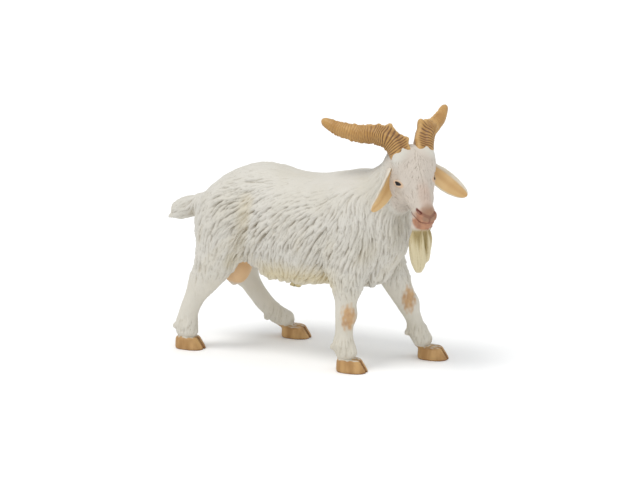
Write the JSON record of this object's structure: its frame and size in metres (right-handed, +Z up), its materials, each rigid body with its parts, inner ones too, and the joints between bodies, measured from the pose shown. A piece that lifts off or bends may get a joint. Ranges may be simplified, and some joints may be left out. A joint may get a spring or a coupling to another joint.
{
  "type": "billy goat figurine",
  "caption": "Moulded and painted vinyl billy goat with long carved coat, spread ringed horns, lop ears and beard, walking with its head turned; stands on its hooves.",
  "frame": {"origin": "centre of the bounding box on the floor, at Z = 0 under the barrel", "axes": "+X towards the chest, +Y towards the goat's left side, +Z up"},
  "size_m": [0.1136, 0.0475, 0.088],
  "materials": {
    "coat": "matte paint on vinyl, cream white with a beige wash in the grooves; hooves, knees, muzzle and eyes are painted zones",
    "horn": "matte ochre paint with a dark brown wash between the rings",
    "ear": "matte paint, peach inside and cream white outside"
  },
  "bodies": {
    "root": {"torso": "coat", "head": "coat", "horn_right": "horn", "horn_left": "horn", "ear_right": "ear", "ear_left": "ear", "beard": "coat", "tail": "coat", "leg_front_right": "coat", "leg_front_left": "coat", "leg_rear_right": "coat", "leg_rear_left": "coat"}
  },
  "joints": []
}
